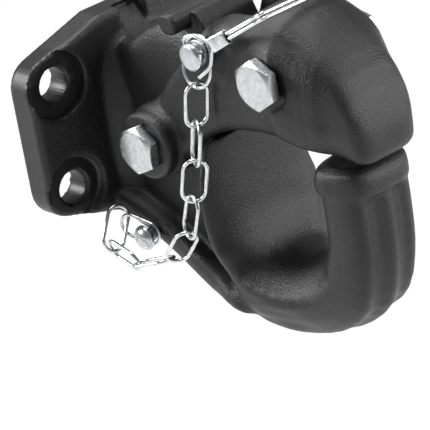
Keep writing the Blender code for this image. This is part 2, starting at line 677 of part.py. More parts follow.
def make_pin():
    """The lock pin: a head that stands out of the near cheek, a straight shank and a tapered tip."""
    near = -(LATCH_HALF_W + GAP)
    far = LATCH_HALF_W + PIN_TAIL
    head_end = near - PIN_HEAD_LEN
    profile = [
        (0, head_end), (PIN_HEAD_R - 0.0008, head_end), (PIN_HEAD_R, head_end + 0.0008), (PIN_HEAD_R, near),
        (PIN_R, near), (PIN_R, far - 0.0025), (PIN_R * 0.55, far), (0, far),
    ]
    pin = turned("lock_pin", profile, PIN_AT, ZINC, steps=28)
    hole_at = Vector((PIN_AT.x, near - PIN_HEAD_LEN * 0.78, PIN_AT.z))
    bm = bmesh.new()
    bmesh.ops.create_cone(bm, cap_ends=True, segments=14, radius1=WIRE_HOLE_R, radius2=WIRE_HOLE_R, depth=0.03)
    turn = BAIL_SIDE.to_track_quat("Z", "Y").to_matrix().to_4x4()
    bmesh.ops.transform(bm, matrix=Matrix.Translation(hole_at) @ turn, verts=bm.verts)
    boolean(pin, from_bmesh("wire_hole", bm))
    return pin, hole_at


def smooth_path(points, count):
    return [tuple(row) for row in smooth_table([tuple(p) for p in points], count)]


def make_bail(hole_at):
    """The spring wire of the pin: through the head, up past the ferrule and over the top of the latch."""
    run = (BAIL_BEND - hole_at).normalized()
    side = BAIL_SIDE
    ferrule_start = hole_at + run * 0.0120
    ferrule_end = hole_at + run * 0.0200
    turn = PIN_HEAD_R + 0.0016
    upper = [hole_at, hole_at - side * (PIN_HEAD_R * 0.6), hole_at - side * turn + run * 0.0010,
             hole_at - side * (turn - 0.0006) + run * 0.0060, ferrule_start - side * WIRE_SPREAD,
             ferrule_end - side * WIRE_SPREAD]
    upper_path = smooth_path(upper, 14)
    bend_in, bend_out = BAIL_BEND - run * 0.0050, BAIL_BEND + Vector((0, 0.0060, 0))
    far = Vector((BAIL_BEND.x, BAIL_END_Y, BAIL_BEND.z))
    strand = lambda sign: [bend_in + side * sign, BAIL_BEND + side * sign, bend_out + side * sign]
    tail = [far + side * -WIRE_SPREAD, far + Vector((0, WIRE_SPREAD, 0)), far + side * WIRE_SPREAD]
    lower = [ferrule_end + side * WIRE_SPREAD, ferrule_start + side * WIRE_SPREAD,
             hole_at + side * (turn - 0.0006) + run * 0.0060, hole_at + side * (turn + 0.0010) - run * 0.0015]
    path = upper_path
    path += smooth_path(strand(-WIRE_SPREAD), 7)
    path += smooth_path(tail, 9)
    path += list(reversed(smooth_path(strand(WIRE_SPREAD), 7)))
    path += smooth_path(lower, 10)
    wire = tube("pin_wire", path, WIRE_R, BRIGHT_WIRE)
    return wire, ferrule_start, ferrule_end, run


def make_ferrule(start, end, run):
    """The flat crimped sleeve that holds the two strands together."""
    thick = WIRE_R + 0.0003 + 0.0005
    wide = WIRE_SPREAD + WIRE_R + 0.0003 + 0.0005
    normal = run.cross(BAIL_SIDE).normalized()
    across, up = rounded_ring(16, 4.0)
    rings, hollow = [], []
    for share, grow in ((0.0, 1.15), (0.25, 1.0), (1.0, 1.0)):
        middle = start.lerp(end, share)
        rings.append([middle + BAIL_SIDE * wide * grow * a + normal * thick * b for a, b in zip(across, up)])
    for share in (-0.5, 1.5):
        middle = start.lerp(end, share)
        hollow.append([middle + BAIL_SIDE * (wide - 0.0005) * a + normal * (thick - 0.0005) * b
                       for a, b in zip(across, up)])
    ferrule = loft("wire_ferrule", rings, BRIGHT_WIRE)
    boolean(ferrule, loft("ferrule_bore", hollow))
    return ferrule


def link_path(length, width, wire_r, turns=7):
    """A chain link's centre line in its own XZ plane, long in Z."""
    radius = width / 2 - wire_r
    straight = length / 2 - wire_r - radius
    top = [(radius * math.cos(a), straight + radius * math.sin(a)) for a in np.linspace(0, math.pi, turns)]
    bottom = [(radius * math.cos(a), -straight + radius * math.sin(a))
              for a in np.linspace(math.pi, 2 * math.pi, turns)]
    return top + bottom


def make_link(name, centre, along, face, length=LINK_LEN, width=LINK_WIDTH):
    """A link at a centre, with its long way along one direction and its flat side facing another."""
    along = Vector(along).normalized()
    face = Vector(face)
    face = (face - along * face.dot(along)).normalized()
    across = along.cross(face)
    points = [Vector(centre) + across * a + along * b
              for a, b in link_path(length, width, CHAIN_WIRE_R)]
    return tube(name, [tuple(p) for p in points], CHAIN_WIRE_R, BRIGHT_WIRE, closed=True)


def make_chain():
    """The ring round the pin's head, the links that hang from it, and the links held by the chain bolt."""
    hook = 2 * CHAIN_WIRE_R + GAP
    ring_y = -(LATCH_HALF_W + 2 * GAP) - 2 * CHAIN_WIRE_R
    top = Vector((PIN_AT.x, ring_y, PIN_AT.z + PIN_HEAD_R + GAP + CHAIN_WIRE_R))
    down = Vector((-0.06, -0.21, -1)).normalized()
    make_link("chain_ring", top + down * (RING_LEN / 2 - CHAIN_WIRE_R), down, (0, 1, 0), RING_LEN, RING_WIDTH)
    run_end = top + down * (RING_LEN - 2 * CHAIN_WIRE_R)
    root = Vector((CHAIN_BOLT_AT.x, -FLANGE_HALF_W, CHAIN_BOLT_AT.z))
    for number, (offset, way, face) in zip((9, 8), HELD_LINKS):
        tail_way = Vector(way).normalized()
        tail_end = root + Vector(offset) + tail_way * (LINK_LEN / 2 - CHAIN_WIRE_R)
        make_link("chain_link_%d" % number, root + Vector(offset), tail_way, face)
    starts = ((run_end, down, RUN_STEPS, (1, 2, 3, 4, 5)), (tail_end, tail_way, TAIL_STEPS, (7, 6)))
    for end, before, steps, numbers in starts:
        for (step, face), number in zip(steps, numbers):
            along = Vector(step).normalized()
            pull = (along + before).normalized()
            near_end = end - pull * hook * (1.6 - 0.6 * along.dot(before))
            before = along
            make_link("chain_link_%d" % number, near_end + along * (LINK_LEN / 2 - CHAIN_WIRE_R), along, face)
            end = near_end + along * (LINK_LEN - 2 * CHAIN_WIRE_R)


def make_chain_bolt():
    """The dome-headed bolt that holds the end of the chain on the flange."""
    face = -(FLANGE_HALF_W + GAP)
    under = face - CHAIN_STANDOFF - CHAIN_HEAD_OFF
    end = -FLANGE_HALF_W + CHAIN_BORE_DEPTH - 0.0005
    profile = [(0, under - CHAIN_DOME)]
    for angle in (22, 42, 60, 76, 88):
        a = math.radians(angle)
        profile.append((CHAIN_HEAD_R * math.sin(a), under - CHAIN_DOME * math.cos(a)))
    profile += [(CHAIN_HEAD_R, under), (CHAIN_BOLT_R, under), (CHAIN_BOLT_R, end), (0, end)]
    return turned("chain_bolt", profile, CHAIN_BOLT_AT, ZINC, steps=28)


def joint_empty(name, at, pieces, parent=None):
    """An empty on a joint's axis that carries the pieces of the moving body."""
    joint = bpy.data.objects.new(name, None)
    PARTS.objects.link(joint)
    joint.location = at if parent is None else Vector(at) - parent.location
    bpy.context.view_layer.update()
    if parent is not None:
        joint.parent = parent
    bpy.context.view_layer.update()
    for piece in pieces:
        obj = bpy.data.objects[piece]
        obj.parent = joint
        obj.matrix_parent_inverse = joint.matrix_world.inverted()
    return joint


make_hook_body()
make_latch()
make_bolt("latch_pivot", PIVOT, LATCH_HALF_W + BOSS_HEIGHT, math.radians(6), NUT_HEIGHT)
make_bolt("lock_pivot", LOCK_PIVOT, LATCH_HALF_W, math.radians(33), THIN_NUT_HEIGHT)
make_lever()
make_spring()
lock_pin, head_hole = make_pin()
wire, sleeve_start, sleeve_end, sleeve_run = make_bail(head_hole)
make_ferrule(sleeve_start, sleeve_end, sleeve_run)
make_chain()
make_chain_bolt()

joint_empty("latch_joint", PIVOT, ["latch", "lock_pivot_bolt", "lock_pivot_nut", "lock_spring"])
joint_empty("lock_joint", LOCK_PIVOT, ["lock_lever"])
joint_empty("wire_joint", head_hole, ["pin_wire", "wire_ferrule"])
joint_empty("chain_joint", PIN_AT, ["chain_ring"] + ["chain_link_%d" % number for number in range(1, 6)])
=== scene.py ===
import math

import bmesh
import bpy
import numpy as np
from mathutils import Matrix, Vector


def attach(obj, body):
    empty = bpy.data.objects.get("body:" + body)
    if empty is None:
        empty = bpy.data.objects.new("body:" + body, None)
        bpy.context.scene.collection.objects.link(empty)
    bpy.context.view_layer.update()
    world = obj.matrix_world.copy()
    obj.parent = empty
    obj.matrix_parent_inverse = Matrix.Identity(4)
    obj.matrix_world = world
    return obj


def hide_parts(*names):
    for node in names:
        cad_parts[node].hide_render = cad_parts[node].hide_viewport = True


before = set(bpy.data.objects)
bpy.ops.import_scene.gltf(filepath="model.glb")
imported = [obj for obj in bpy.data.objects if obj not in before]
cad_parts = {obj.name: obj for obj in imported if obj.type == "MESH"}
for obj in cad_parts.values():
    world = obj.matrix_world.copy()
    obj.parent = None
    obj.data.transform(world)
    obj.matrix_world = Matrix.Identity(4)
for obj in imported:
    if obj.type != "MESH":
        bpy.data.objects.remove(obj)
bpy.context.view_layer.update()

mm = 0.001
scene = bpy.context.scene
tau = 2 * math.pi

# The holes and pivots that part.py gives the castings, in metres
holeAt = [Vector((0, y * 42.85 * mm, z * 22.225 * mm)) for y in (-1, 1) for z in (-1, 1)]
latchPivot = Vector((46.7, 0, -1.9)) * mm
lockPivot = Vector((113.4, 0, 34.6)) * mm
pinAt = Vector((84.5, 0, 42.5)) * mm
chainBoltAt = Vector((32.0, 0, -46.2)) * mm


def newMesh(name, verts, faces, smooth=True, sharp=38):
    mesh = bpy.data.meshes.new(name)
    mesh.from_pydata(np.asarray(verts, float).tolist(), [], [tuple(int(i) for i in f) for f in faces])
    bm = bmesh.new()
    bm.from_mesh(mesh)
    bmesh.ops.remove_doubles(bm, verts=bm.verts, dist=1e-6)
    bmesh.ops.recalc_face_normals(bm, faces=bm.faces)
    bm.to_mesh(mesh)
    bm.free()
    if smooth:
        mesh.shade_smooth()
        mesh.set_sharp_from_angle(angle=math.radians(sharp))
    obj = bpy.data.objects.new(name, mesh)
    scene.collection.objects.link(obj)
    return obj


def gridFaces(rows, columns, closeRows=False, closeColumns=True, offset=0):
    # Quads over a rows x columns grid of vertices
    r = np.arange(rows if closeRows else rows - 1)
    c = np.arange(columns if closeColumns else columns - 1)
    a, b = [x.ravel() for x in np.meshgrid(r, c, indexing="ij")]
    a2, b2 = (a + 1) % rows, (b + 1) % columns
    return np.stack([a * columns + b, a * columns + b2, a2 * columns + b2, a2 * columns + b], 1) + offset


def capped(grid):
    # A closed solid from rings: the ends are shut by fans to their centres
    rows, columns, _ = grid.shape
    verts = np.concatenate([grid.reshape(-1, 3), grid[0].mean(0)[None], grid[-1].mean(0)[None]])
    faces = [tuple(f) for f in gridFaces(rows, columns)]
    low, high, last = rows * columns, rows * columns + 1, (rows - 1) * columns
    for i in range(columns):
        j = (i + 1) % columns
        faces.append((low, j, i))
        faces.append((high, last + i, last + j))
    return verts, faces


def frameOf(axis):
    # Two directions across an axis
    axis = np.array(axis, float) / np.linalg.norm(axis)
    side = np.cross(axis, [0, 0, 1.0] if abs(axis[2]) < 0.9 else [1.0, 0, 0])
    side /= np.linalg.norm(side)
    return axis, side, np.cross(axis, side)


def revolved(profile, at, axis, steps=64):
    # Rings of (along, radius) turned about an axis through a point
    along, side, up = frameOf(axis)
    t = np.linspace(0, tau, steps, endpoint=False)
    ring = np.cos(t)[:, None] * side + np.sin(t)[:, None] * up
    return np.array([np.array(at) + along * a + ring * max(r, 1e-6) for a, r in profile])


def turned(name, profile, at, axis, steps=64, sharp=32):
    return newMesh(name, *capped(revolved(profile, at, axis, steps)), sharp=sharp)


def joined(solids):
    # One list of vertices and faces from several
    verts, faces, start = [], [], 0
    for v, f in solids:
        verts.append(np.asarray(v, float))
        faces += [tuple(int(i) + start for i in face) for face in f]
        start += len(v)
    return np.concatenate(verts), faces


def sweep(points, radius, closed=False, sides=18):
    # Rings along a path. The frame is carried from point to point without twisting
    p = np.asarray(points, float)
    if closed:
        tangent = np.roll(p, -1, 0) - np.roll(p, 1, 0)
    else:
        tangent = np.gradient(p, axis=0)
    tangent /= np.linalg.norm(tangent, axis=1)[:, None]
    _, side, _ = frameOf(tangent[0])
    sidesAlong = [side]
    for t in tangent[1:]:
        side = side - t * np.dot(side, t)
        side /= np.linalg.norm(side)
        sidesAlong.append(side)
    u = np.array(sidesAlong)
    v = np.cross(tangent, u)
    a = np.linspace(0, tau, sides, endpoint=False)
    r = np.broadcast_to(np.asarray(radius, float), (len(p),))[:, None, None]
    return p[:, None] + r * (np.cos(a)[None, :, None] * u[:, None] + np.sin(a)[None, :, None] * v[:, None])


def wire(name, points, radius, closed=False, sides=18):
    rings = sweep(points, radius, closed, sides)
    if closed:
        rows, columns, _ = rings.shape
        first = np.argmin(np.linalg.norm(rings[0] - rings[-1][0], axis=1))
        faces = [tuple(f) for f in gridFaces(rows, columns)]
        last = (rows - 1) * columns
        for i in range(columns):
            j = (i + 1) % columns
            faces.append((last + i, last + j, (first + j) % columns, (first + i) % columns))
        return newMesh(name, rings.reshape(-1, 3), faces)
    return newMesh(name, *capped(rings))


def spline(keys, count):
    # Points spaced evenly through the keys on a Catmull-Rom curve
    k = np.asarray(keys, float)
    s = np.linspace(0, len(k) - 1, count)
    i = np.clip(s.astype(int), 0, len(k) - 2)
    t = (s - i)[:, None]
    a, b, c, d = k[np.clip(i - 1, 0, None)], k[i], k[i + 1], k[np.clip(i + 2, None, len(k) - 1)]
    return 0.5 * (2 * b + (c - a) * t + (2 * a - 5 * b + 4 * c - d) * t ** 2 + (3 * b - a - 3 * c + d) * t ** 3)


def meshFrom(obj):
    # The object's mesh with its modifiers, as a new mesh; the modifiers are then cleared
    bpy.context.view_layer.update()
    mesh = bpy.data.meshes.new_from_object(obj.evaluated_get(bpy.context.evaluated_depsgraph_get()))
    obj.modifiers.clear()
    obj.data = mesh
    return mesh


def ease(t):
    # 0 below 0, 1 above 1, and smooth between
    t = np.clip(t, 0, 1)
    return t * t * (3 - 2 * t)


def bell(t):
    return np.exp(-t ** 2)


def relax(mesh, passes, keep, soft=None, shift=None):
    # Rounds edges without shrinking: each step in by 0.5 is followed by one out by 0.52; keep(co) is 1 where it stays
    n = len(mesh.vertices)
    co = np.empty(n * 3)
    mesh.vertices.foreach_get("co", co)
    co = co.reshape(-1, 3)
    edges = np.empty(len(mesh.edges) * 2, int)
    mesh.edges.foreach_get("vertices", edges)
    a, b = edges.reshape(-1, 2).T
    count = np.bincount(np.concatenate([a, b]), minlength=n)[:, None]

    def smooth(co, free, times):
        for step in [0.5, -0.52] * times:
            total = np.stack([np.bincount(a, co[b, k], n) + np.bincount(b, co[a, k], n) for k in range(3)], 1)
            co = co + step * free[:, None] * (total / count - co)
        return co

    co = smooth(co, 1 - keep(co), passes)
    if shift is not None:
        co = co + shift(co) * mm
        co = smooth(co, (1 - keep(co)) * soft(co), 120)
    mesh.vertices.foreach_set("co", co.ravel())
    mesh.update()


def casting(name, node, body, voxel, passes, keep, cutter, soft=None, shift=None):
    # A cast piece: the CAD's solid with every edge and corner rounded, and its machined faces cut again
    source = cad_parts[node]
    bm = bmesh.new()
    bm.from_mesh(source.data)
    bmesh.ops.remove_doubles(bm, verts=bm.verts, dist=1e-6)
    mesh = bpy.data.meshes.new(name)
    bm.to_mesh(mesh)
    bm.free()
    obj = bpy.data.objects.new(name, mesh)
    scene.collection.objects.link(obj)
    step = obj.modifiers.new("voxels", "REMESH")
    step.mode = "VOXEL"
    step.voxel_size = voxel
    relax(meshFrom(obj), passes, keep, soft, shift)
    cut = obj.modifiers.new("machined", "BOOLEAN")
    cut.operation = "DIFFERENCE"
    cut.solver = "EXACT"
    cut.object = cutter
    mesh = meshFrom(obj)
    bpy.data.objects.remove(cutter, do_unlink=True)
    mesh.shade_smooth()
    mesh.set_sharp_from_angle(angle=math.radians(40))
    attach(obj, body)
    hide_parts(node)
    return obj


def linear(code):
    parts = [int(code[i:i + 2], 16) / 255 for i in (0, 2, 4)]
    return (*[c / 12.92 if c <= 0.04045 else ((c + 0.055) / 1.055) ** 2.4 for c in parts], 1.0)


def add(tree, kind, settings=None, **inputs):
    # Adds a node; each input is a value or another node's output
    made = tree.nodes.new("ShaderNode" + kind)
    for key, value in (settings or {}).items():
        setattr(made, key, value)
    for key, value in inputs.items():
        name = key.replace("_", " ")
        socket = made.inputs[int(name[1:])] if name[0] == "i" and name[1:].isdigit() else made.inputs[name]
        if isinstance(value, bpy.types.NodeSocket):
            tree.links.new(value, socket)
        else:
            socket.default_value = value
    return made


def blank(name):
    made = bpy.data.materials.new(name)
    made.use_nodes = True
    tree = made.node_tree
    return made, tree, tree.nodes["Principled BSDF"], add(tree, "TexCoord").outputs["Object"]


def noise(tree, at, size, detail=3.0, rough=0.55):
    # Noise whose features are about size across, in metres
    return add(tree, "TexNoise", Vector=at, Scale=1 / size, Detail=detail, Roughness=rough).outputs["Fac"]


def span(tree, value, low, high, outLow, outHigh):
    return add(tree, "MapRange", Value=value, From_Min=low, From_Max=high, To_Min=outLow,
               To_Max=outHigh).outputs["Result"]


def mixColour(tree, share, first, second):
    return add(tree, "Mix", {"data_type": "RGBA"}, i0=share, i6=first, i7=second).outputs[2]


def satinCasting(name, machined=()):
    # Satin black paint over a sand-cast skin; smoother within a radius of each machined axis
    made, tree, shader, at = blank(name)
    grain = noise(tree, at, 0.85 * mm, 4.0, 0.62)
    pits = noise(tree, at, 0.42 * mm, 2.0, 0.5)
    swell = noise(tree, at, 14 * mm, 2.0, 0.5)
    tint = noise(tree, at, 30 * mm, 3.0, 0.6)
    colour = mixColour(tree, span(tree, tint, 0.35, 0.65, 0, 1), linear("121213"), linear("19191a"))
    tree.links.new(colour, shader.inputs["Base Color"])
    tree.links.new(span(tree, grain, 0.3, 0.7, 0.32, 0.46), shader.inputs["Roughness"])
    skin = None
    for axis, middle, low, high in machined:
        offset = add(tree, "VectorMath", {"operation": "SUBTRACT"}, i0=at, i1=tuple(middle)).outputs[0]
        flat = add(tree, "VectorMath", {"operation": "MULTIPLY"}, i0=offset,
                   i1=(0, 1, 1) if axis == "X" else (1, 0, 1)).outputs[0]
        away = add(tree, "VectorMath", {"operation": "LENGTH"}, i0=flat).outputs["Value"]
        part = span(tree, away, low, high, 0.0, 1.0)
        skin = part if skin is None else add(tree, "Math", {"operation": "MULTIPLY"}, i0=skin, i1=part).outputs[0]
    strength = 0.80 if skin is None else span(tree, skin, 0, 1, 0.15, 0.80)
    first = add(tree, "Bump", Height=swell, Strength=0.30, Distance=0.8 * mm)
    second = add(tree, "Bump", Height=grain, Strength=strength, Distance=0.45 * mm, Normal=first.outputs[0])
    third = add(tree, "Bump", Height=pits, Strength=0.40, Distance=0.12 * mm, Normal=second.outputs[0])
    tree.links.new(third.outputs[0], shader.inputs["Normal"])
    shader.inputs["Specular IOR Level"].default_value = 0.5
    return made


def zincPlate(name, light="d6d7da", dark="bbbdc1", rough=0.25, bump=0.25):
    # Bright zinc plating: metallic, faintly mottled, over forged or drawn steel
    made, tree, shader, at = blank(name)
    mottle = noise(tree, at, 2.2 * mm, 3.0, 0.6)
    fine = noise(tree, at, 0.25 * mm, 2.0, 0.5)
    colour = mixColour(tree, span(tree, mottle, 0.3, 0.7, 0, 1), linear(dark), linear(light))
    tree.links.new(colour, shader.inputs["Base Color"])
    tree.links.new(span(tree, mottle, 0.3, 0.7, rough + 0.08, rough - 0.04), shader.inputs["Roughness"])
    shader.inputs["Metallic"].default_value = 1.0
    first = add(tree, "Bump", Height=mottle, Strength=bump, Distance=0.08 * mm)
    second = add(tree, "Bump", Height=fine, Strength=bump, Distance=0.015 * mm, Normal=first.outputs[0])
    tree.links.new(second.outputs[0], shader.inputs["Normal"])
    return made


nearPivots = [("Y", latchPivot, 7.0 * mm, 13.0 * mm), ("Y", lockPivot, 10.0 * mm, 13.0 * mm)]
bodyPaint = satinCasting("satinBlackHook", [("X", at, 13.0 * mm, 14.4 * mm) for at in holeAt])
latchPaint = satinCasting("satinBlackLatch", nearPivots)
leverPaint = satinCasting("satinBlackLever")
boltZinc = zincPlate("boltZinc")
wireZinc = zincPlate("wireZinc", "eceded", "c9cbcd", 0.20, 0.08)
springSteel = zincPlate("springSteel", "6c6c6f", "4b4b4e", 0.30, 0.10)


def finished(obj, paint, body=None, node=None):
    obj.data.materials.clear()
    obj.data.materials.append(paint)
    if body:
        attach(obj, body)
    if node:
        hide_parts(*([node] if isinstance(node, str) else node))
    return obj


def nearAxis(co, middle, axis, low, high):
    # 1 within low of an axis, fading to 0 at high
    keep = [k for k in range(3) if k != axis]
    away = np.linalg.norm(co[:, keep] - np.array(middle)[keep], axis=1)
    return np.clip((high - away) / (high - low), 0, 1)


def keepHook(co):
    flat = np.zeros(len(co))
    for at in holeAt:
        flat = np.maximum(flat, nearAxis(co, at, 0, 13.4 * mm, 15.0 * mm))
    flat = np.maximum(flat, nearAxis(co, latchPivot, 1, 6.5 * mm, 8.5 * mm))
    return 0.85 * flat


def keepLatch(co):
    flat = np.maximum(nearAxis(co, lockPivot, 1, 11.0 * mm, 12.5 * mm), nearAxis(co, latchPivot, 1, 8.0 * mm, 11.0 * mm))
    flat = np.maximum(flat, nearAxis(co, pinAt, 1, 5.0 * mm, 6.5 * mm))
    return 0.85 * flat


def aroundThroat(co):
    # Millimetres, and the place round the throat's middle: distance, and degrees from the back wall downwards
    x, y, z = (co / mm).T
    dx, dz = x - 99.2, z + 30
    return x, y, z, dx, dz, np.hypot(dx, dz), (np.degrees(np.arctan2(-dz, -dx)) + 90) % 360 - 90


def softHook(co):
    # The bowl's rims and the horn's flanks, below the collar
    x, y, z, dx, dz, away, turn = aroundThroat(co)
    bowl = ease((turn + 50) / 20) * (1 - ease((turn - 150) / 15)) * ease((60 - away) / 6)
    return 0.15 + 0.85 * bowl


def shiftHook(co):
    # The throat's back wall runs up to the latch, the bowl's rims are as thick as a round bar, and the horn's
    # outer face has a groove each side of a low rib
    x, y, z, dx, dz, away, turn = aroundThroat(co)
    side = np.abs(y)
    rise = 2.4 * ease((x - 67.5) / 6) * ease((80 - x) / 3) * ease((z + 13) / 11) * ease((27 - side) / 3)
    bowl = ease((turn - 30) / 20) * (1 - ease((turn - 140) / 20))
    wider = y * (np.interp(away, [23, 27, 30, 34], [0.84, 0.88, 0.94, 1]) - 1) * bowl
    fuller = 0.25 * side * ease((away - 31) / 14) * ease((turn - 38) / 26) * (1 - ease((turn - 68) / 30))
    fuller *= 1 - ease((away - 45) / 7) * (1 - ease((turn - 58) / 16))
    wider += np.sign(y) * np.minimum(fuller, np.maximum(23.5 - side, 0))
    corner = ease((away - 40) / 9) * ease((turn - 85) / 20) * (1 - ease((turn - 112) / 35))
    wider += y * corner * np.where(y > 0, 0.24, -0.12)
    farRim = ease((y - 10) / 12) * ease((turn + 20) / 28) * (1 - ease((turn - 45) / 20)) * (1 - ease((away - 30) / 12))
    down = np.minimum(dz, 0)
    reach = np.hypot(dx, down)
    outer = ease((reach - 38) / 4) * ease((turn - 80) / 30) * ease((-11 - z) / 4)
    groove = outer * (1.0 * bell(y / 3.0) - 1.6 * bell((side - 7.8) / 3.8))
    return np.stack([groove * dx / reach + 1.5 * farRim, wider + 2.0 * farRim, rise + groove * down / reach], 1)


def softLatch(co):
    return np.full(len(co), 0.35)


def shiftLatch(co):
    # Seen from above the nose narrows evenly from the lock bolt to its front; above its foot only. The far
    # shoulder is fuller, round the nut
    x, y, z = (co / mm).T
    full = np.interp(x, [114, 117, 121.5, 126, 130, 134, 138, 142, 146, 149], [1, 1, 0.945, 0.95, 1.04, 1.20, 1.20, 1.14, 1.06, 1])
    swell = 2.8 * bell((x - 125) / 7.5) * bell((z - 42) / 10) * ease((y - 12) / 8)
    swell *= ease((np.hypot(x - 113.4, z - 34.6) - 10.3) / 2.5)    # the nut's seat stays flat
    lip = 2.0 * ease((x - 70) / 10) * ease((106 - x) / 14) * ease((z - 40) / 6) * ease((-y - 7) / 3)
    lip += 5.0 * ease((x - 66) / 10) * ease((110 - x) / 14) * ease((z - 38) / 6) * ease((y - 7) / 3)
    lip *= ease((np.hypot(x - 84.5, z - 42.5) - 4.7) / 1.9)    # the pin's bore stays round
    return np.stack([np.zeros(len(x)), y * (full - 1) * ease((z - 4) / 14) + swell, lip], 1)


def hookCutter():
    # Four stepped drills for the bolt holes and their spot faces, and the latch bolt's bore
    drill = [(-5, 0), (-5, 7.6), (0.0, 7.45), (0.6, 6.92), (10.7, 6.92), (11.28, 7.5), (11.28, 13.85), (60, 13.85), (60, 0)]
    solids = [capped(revolved([(a * mm, r * mm) for a, r in drill], at, (1, 0, 0), 96)) for at in holeAt]
    bore = [(-40, 0), (-40, 5.8), (40, 5.8), (40, 0)]
    solids.append(capped(revolved([(a * mm, r * mm) for a, r in bore], latchPivot, (0, 1, 0), 64)))
    return newMesh("hookCutter", *joined(solids), smooth=False)


def latchCutter():
    solids = []
    for at, radius in ((latchPivot, 5.8), (lockPivot, 5.8), (pinAt, 4.3)):
        bore = [(-60, 0), (-60, radius), (60, radius), (60, 0)]
        solids.append(capped(revolved([(a * mm, r * mm) for a, r in bore], at, (0, 1, 0), 64)))
    return newMesh("latchCutter", *joined(solids), smooth=False)


def leverCutter():
    bore = [(-30, 0), (-30, 5.8), (30, 5.8), (30, 0)]
    return newMesh("leverCutter", *capped(revolved([(a * mm, r * mm) for a, r in bore], lockPivot, (0, 1, 0), 64)))


hookCast = casting("castHook", "hook_body", "root", 0.95 * mm, 40, keepHook, hookCutter(), softHook, shiftHook)
finished(hookCast, bodyPaint)
print("hook cast")
latchCast = casting("castLatch", "latch", "latch", 0.85 * mm, 30, keepLatch, latchCutter(), softLatch, shiftLatch)
finished(latchCast, latchPaint)
print("latch cast")
leverCast = casting("castLever", "lock_lever", "lock_lever", 0.6 * mm, 12, lambda co: np.zeros(len(co)), leverCutter())
finished(leverCast, leverPaint)
print("lever cast")


def hexRadius(t, flats, turn):
    # Distance from a hexagon's centre to its edge in direction t
    return flats / 2 / np.cos((t - turn + math.pi / 6) % (math.pi / 3) - math.pi / 6)


def hexBlock(at, outer, inner, flats, turn, chamferIn=False, washer=0.0):
    # A hexagon along Y from its seat at inner to its top at outer, with the corners turned to a cone
    count = 144
    t = np.linspace(0, tau, count, endpoint=False)
    r = hexRadius(t, flats, turn)
    away = np.sign(outer - inner)
    height = abs(outer - inner)
    drop = np.maximum(r - flats / 2 * 0.91, 0) * math.tan(math.radians(30))
    rows = []
    ringAt = lambda radius, up: np.stack([at.x + radius * np.cos(t), np.full(count, 1.0) * inner + away * up,
                                          at.z + radius * np.sin(t)], 1)
    whole = np.ones(count)
    if washer:
        rows += [ringAt(whole * flats * 0.47, whole * 0.0), ringAt(whole * flats * 0.475, whole * washer)]
    low = drop if chamferIn else whole * 0.15 * mm
    rows += [ringAt(np.minimum(r, flats / 2 * 0.965), whole * washer), ringAt(r * 0.995, washer + low * 0.8),
             ringAt(r, washer + low + 0.15 * mm)]
    rows += [ringAt(r, height - drop - 0.15 * mm), ringAt(r * 0.996, height - drop * 0.97),
             ringAt(np.minimum(r, flats / 2 * 0.91), whole * height - 0.05 * mm),
             ringAt(whole * flats / 2 * 0.88, whole * height)]
    return rows


def threadRows(at, radius, start, end, pitch, depth):
    # A helical thread as rings along Y: the radius dips once per turn
    count, steps = 72, max(12, int(abs(end - start) / pitch * 12))
    t = np.linspace(0, tau, count, endpoint=False)
    rows = []
    for s in np.linspace(0, 1, steps):
        y = start + (end - start) * s
        phase = (abs(y - start) / pitch - t / tau) % 1
        fade = min(1.0, (1 - s) * abs(end - start) / (0.7 * pitch))
        r = radius - depth * (1 - np.abs(2 * phase - 1)) * fade - 0.5 * mm * (1 - fade)
        rows.append(np.stack([at.x + r * np.cos(t), np.full(count, y), at.z + r * np.sin(t)], 1))
    return rows


def boltSet(name, at, seat, nut, turn, body):
    # A hexagon bolt through both sides, and its nut
    gap, flats, head, over = 0.3 * mm, 17.8 * mm, 5.1 * mm, 1.5 * mm
    under, end = -(seat + gap), seat + gap + nut + over
    headRows = np.array(hexBlock(at, under - head, under, flats, turn, washer=0.4 * mm))
    headSolid = capped(headRows)
    shank = threadRows(at, 5.5 * mm, seat - 4 * mm, end, 1.6 * mm, 0.75 * mm)
    plain = [(5.4, under - 1 * mm), (5.5, under), (5.5, seat - 4 * mm)]
    t = np.linspace(0, tau, 72, endpoint=False)
    rows = [np.stack([at.x + r * mm * np.cos(t), np.full(72, y), at.z + r * mm * np.sin(t)], 1) for r, y in plain]
    bolt = newMesh(name + "BoltShape", *joined([headSolid, capped(np.array(rows + shank))]), sharp=28)
    finished(bolt, boltZinc, body, name + "_bolt")
    nutRows = hexBlock(at, seat + gap + nut, seat + gap, flats, turn + 0.3, chamferIn=True)
    t = np.linspace(0, tau, 144, endpoint=False)
    hole = [np.stack([at.x + r * mm * np.cos(t), np.full(144, y), at.z + r * mm * np.sin(t)], 1)
            for r, y in ((6.2, seat + gap + nut), (5.7, seat + gap + nut - 0.6 * mm), (5.7, seat + gap + 0.6 * mm),
                         (6.2, seat + gap))]
    rows = np.array(nutRows + hole)
    nutShape = newMesh(name + "NutShape", rows.reshape(-1, 3), gridFaces(len(rows), 144, closeRows=True), sharp=28)
    finished(nutShape, boltZinc, body, name + "_nut")


boltSet("latch_pivot", latchPivot, 31.9 * mm, 7.5 * mm, math.radians(-6), "root")
boltSet("lock_pivot", lockPivot, 24.9 * mm, 4.5 * mm, math.radians(3), "latch")
print("bolts")


pinRise = np.array([33.5, 0, 20.5]) / np.hypot(33.5, 20.5)
pinSide = np.cross([0, 1, 0], pinRise)
pinHole = np.array([84.5, -(25.2 + 8.8 * 0.78), 42.5]) * mm
bailBend = np.array([118.5, -24.5, 61.2]) * mm
bailEnd = np.array([118.0, 29.0, 60.6]) * mm
wireR = 0.8 * mm
drawnR = 0.77 * mm    # a little under the wire's own radius, so that round links clear each other

